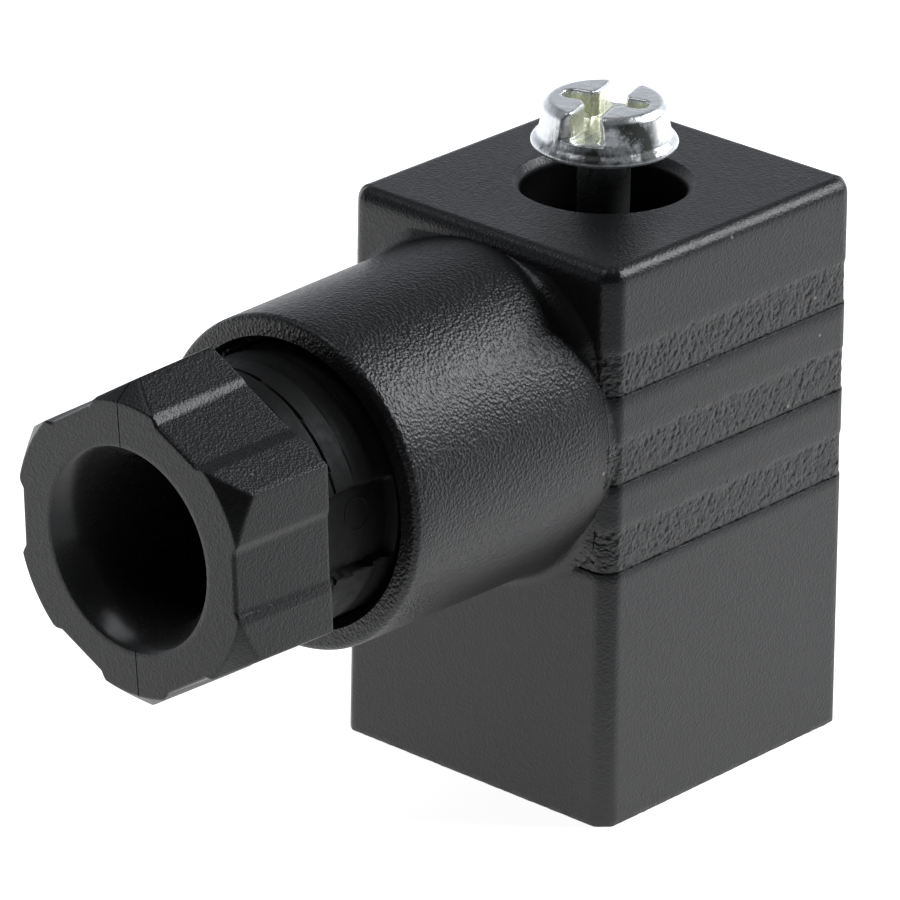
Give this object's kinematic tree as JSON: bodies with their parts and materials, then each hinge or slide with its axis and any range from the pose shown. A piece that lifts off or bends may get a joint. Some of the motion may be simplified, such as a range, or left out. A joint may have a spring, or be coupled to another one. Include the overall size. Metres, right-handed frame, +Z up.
{
  "type": "solenoid valve cable plug",
  "caption": "Right-angle cable plug for a solenoid valve: rectangular housing, cable barrel with hexagonal gland nut, central fixing screw and a contact carrier inside.",
  "frame": {"origin": "on the fixing screw's axis, in the plane of the rim that sits on the valve", "axes": "+Z up along the fixing screw, out of the valve; the cable barrel points along -Y; +X to the right when the barrel is seen from the housing's back"},
  "size_m": [0.016, 0.0386, 0.0305],
  "materials": {
    "housing_plastic": "black glass-filled nylon, fine spark-eroded texture, coarser on the grip bands",
    "nut_plastic": "black nylon, satin, glossy inside the cable mouth",
    "carrier_plastic": "black glass-filled nylon",
    "nylon": "natural nylon, satin",
    "rubber": "black nitrile rubber, matte",
    "zinc_plated_steel": "bright zinc plating with a faint yellow-green passivation",
    "tinned_brass": "tin plating, satin"
  },
  "bodies": {
    "housing": {"housing": "housing_plastic", "cable_seal": "rubber", "screw_seal_ring": "rubber"},
    "carrier": {"contact_carrier": "carrier_plastic", "valve_gasket": "rubber", "contact_1": "tinned_brass", "contact_2": "tinned_brass", "contact_3": "tinned_brass", "contact_earth": "tinned_brass"},
    "captive_ring": {"captive_ring": "nylon"},
    "fixing_screw": {"fixing_screw": "zinc_plated_steel"},
    "thrust_ring": {"thrust_ring": "nylon"},
    "gland_nut": {"gland_nut": "nut_plastic"},
    "wire_clamp_1": {"wire_clamp_1": "tinned_brass"},
    "wire_clamp_2": {"wire_clamp_2": "tinned_brass"},
    "wire_clamp_3": {"wire_clamp_3": "tinned_brass"},
    "wire_clamp_earth": {"wire_clamp_earth": "tinned_brass"},
    "terminal_screw_1": {"terminal_screw_1": "zinc_plated_steel"},
    "terminal_screw_2": {"terminal_screw_2": "zinc_plated_steel"},
    "terminal_screw_3": {"terminal_screw_3": "zinc_plated_steel"},
    "terminal_screw_earth": {"terminal_screw_earth": "zinc_plated_steel"}
  },
  "joints": [
    {"name": "carrier_pull", "type": "slide", "parent": "housing", "child": "carrier", "axis": [0, 0, -1], "range_m": [0, 0.014]},
    {"name": "fixing_screw_lift", "type": "slide", "parent": "housing", "child": "captive_ring", "axis": [0, 0, 1], "range_m": [-0.0039, 0.0003]},
    {"name": "fixing_screw_turn", "type": "hinge", "parent": "captive_ring", "child": "fixing_screw", "pos_m": [0, 0, 0.0284], "axis": [0, 0, 1], "continuous": true},
    {"name": "gland_nut_travel", "type": "slide", "parent": "housing", "child": "thrust_ring", "axis": [0, 1, 0], "range_m": [-0.00253, 0.00317]},
    {"name": "gland_nut_turn", "type": "hinge", "parent": "thrust_ring", "child": "gland_nut", "pos_m": [0, -0.03035, 0.0183], "axis": [0, 1, 0], "range_deg": [-720, 900]},
    {"name": "wire_clamp_1_lift", "type": "slide", "parent": "carrier", "child": "wire_clamp_1", "axis": [0, 0, 1], "range_m": [0, 0.0018]},
    {"name": "terminal_screw_1_turn", "type": "hinge", "parent": "wire_clamp_1", "child": "terminal_screw_1", "pos_m": [-0.00435, -0.0041, 0.012], "axis": [0, 0, 1], "range_deg": [0, 1441]},
    {"name": "wire_clamp_2_lift", "type": "slide", "parent": "carrier", "child": "wire_clamp_2", "axis": [0, 0, 1], "range_m": [0, 0.0018]},
    {"name": "terminal_screw_2_turn", "type": "hinge", "parent": "wire_clamp_2", "child": "terminal_screw_2", "pos_m": [0.00435, 0.0041, 0.012], "axis": [0, 0, 1], "range_deg": [0, 1441]},
    {"name": "wire_clamp_3_lift", "type": "slide", "parent": "carrier", "child": "wire_clamp_3", "axis": [0, 0, 1], "range_m": [0, 0.0018]},
    {"name": "terminal_screw_3_turn", "type": "hinge", "parent": "wire_clamp_3", "child": "terminal_screw_3", "pos_m": [-0.0041, 0.00435, 0.012], "axis": [0, 0, 1], "range_deg": [0, 1441]},
    {"name": "wire_clamp_earth_lift", "type": "slide", "parent": "carrier", "child": "wire_clamp_earth", "axis": [0, 0, 1], "range_m": [0, 0.0018]},
    {"name": "terminal_screw_earth_turn", "type": "hinge", "parent": "wire_clamp_earth", "child": "terminal_screw_earth", "pos_m": [0.0041, -0.00435, 0.012], "axis": [0, 0, 1], "range_deg": [0, 1441]}
  ],
  "couplings": [
    {"joint": "gland_nut_turn", "follows": "gland_nut_travel", "rad_per_m": 4947.4},
    {"joint": "terminal_screw_1_turn", "follows": "wire_clamp_1_lift", "rad_per_m": 13963},
    {"joint": "terminal_screw_2_turn", "follows": "wire_clamp_2_lift", "rad_per_m": 13963},
    {"joint": "terminal_screw_3_turn", "follows": "wire_clamp_3_lift", "rad_per_m": 13963},
    {"joint": "terminal_screw_earth_turn", "follows": "wire_clamp_earth_lift", "rad_per_m": 13963}
  ]
}
